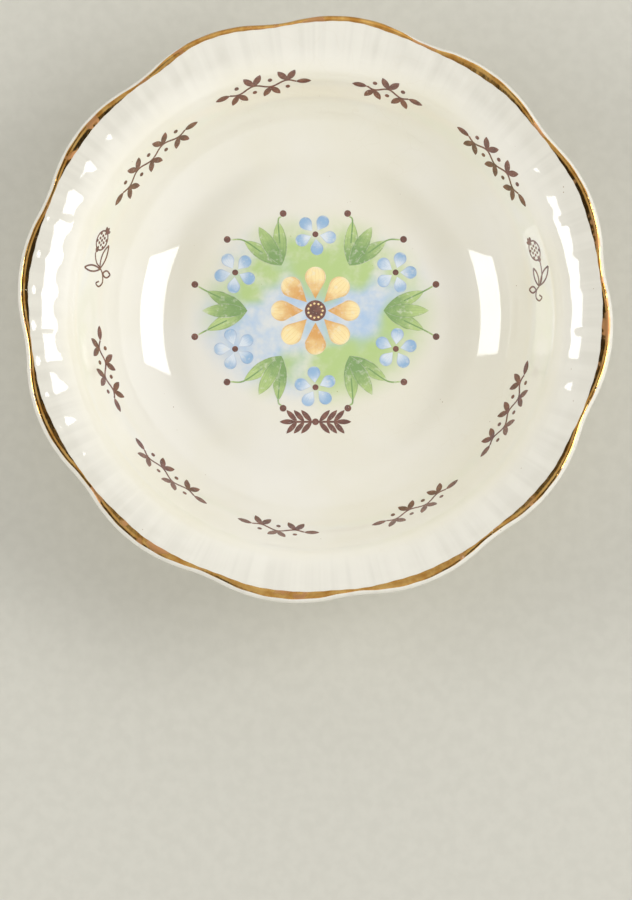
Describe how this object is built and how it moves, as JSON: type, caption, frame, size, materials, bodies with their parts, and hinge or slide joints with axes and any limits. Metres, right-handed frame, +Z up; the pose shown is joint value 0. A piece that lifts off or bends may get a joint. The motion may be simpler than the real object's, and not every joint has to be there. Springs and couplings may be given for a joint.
{
  "type": "seder dish",
  "caption": "Shallow round ceramic dish with a scalloped, fluted and gilded rim, a foot ring, a leafy printed border and a floral picture in the well; holds one of the foods of a seder.",
  "frame": {"origin": "on the axis of the dish, in the plane of the foot ring's bearing face", "axes": "+Z up along the axis, +Y towards the top of the picture in the well, +X to the right of the picture"},
  "size_m": [0.1544, 0.1544, 0.038],
  "materials": {
    "biscuit": "matt fired clay",
    "glaze": "clear glossy glaze over cream body",
    "gilt": "burnished gold lining, worn",
    "brown_print": "fired brown transfer",
    "yellow_print": "fired yellow transfer",
    "blue_print": "fired blue transfer",
    "green_print": "fired green transfer"
  },
  "bodies": {
    "root": {"biscuit_body": "biscuit", "border_transfer_1": "brown_print", "border_transfer_2": "brown_print", "border_transfer_3": "brown_print", "border_transfer_4": "brown_print", "border_transfer_5": "brown_print", "border_transfer_6": "brown_print", "border_transfer_7": "brown_print", "border_transfer_8": "brown_print", "border_transfer_9": "brown_print", "foot_well_glaze": "glaze", "gilt_rim_band": "gilt", "glaze_coat": "glaze", "left_sprig_transfer": "brown_print", "lower_transfer": "brown_print", "medallion_blue_print": "blue_print", "medallion_brown_print": "brown_print", "medallion_leaf_print": "green_print", "medallion_yellow_print": "yellow_print", "right_sprig_transfer": "brown_print"}
  },
  "joints": []
}
